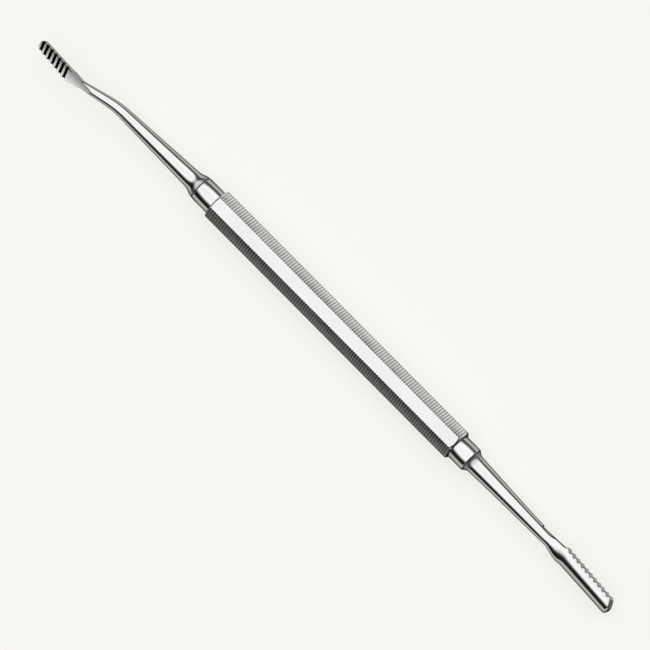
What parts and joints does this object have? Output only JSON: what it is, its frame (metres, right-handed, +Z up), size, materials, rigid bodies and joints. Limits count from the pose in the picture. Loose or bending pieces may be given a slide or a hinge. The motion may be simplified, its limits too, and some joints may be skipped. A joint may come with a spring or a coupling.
{
  "type": "double-ended bone file",
  "caption": "Polished steel hand rasp with a small cranked file and a large straight file on a serrated octagonal handle",
  "frame": {"origin": "centre of the handle's lower smooth flat, the face that the tool rests on", "axes": "+X along the handle towards the large straight file, +Y the way the large file's teeth face, +Z up"},
  "size_m": [0.1769, 0.0083, 0.0085],
  "materials": {
    "handle_steel": "satin polished stainless steel",
    "collar_steel": "turned and bright polished stainless steel",
    "file_steel": "forged, ground and bright polished hardened stainless steel"
  },
  "bodies": {
    "root": {"handle_bar": "handle_steel", "small_end_collar": "collar_steel", "large_end_collar": "collar_steel", "small_curved_file": "file_steel", "large_straight_file": "file_steel"}
  },
  "joints": []
}
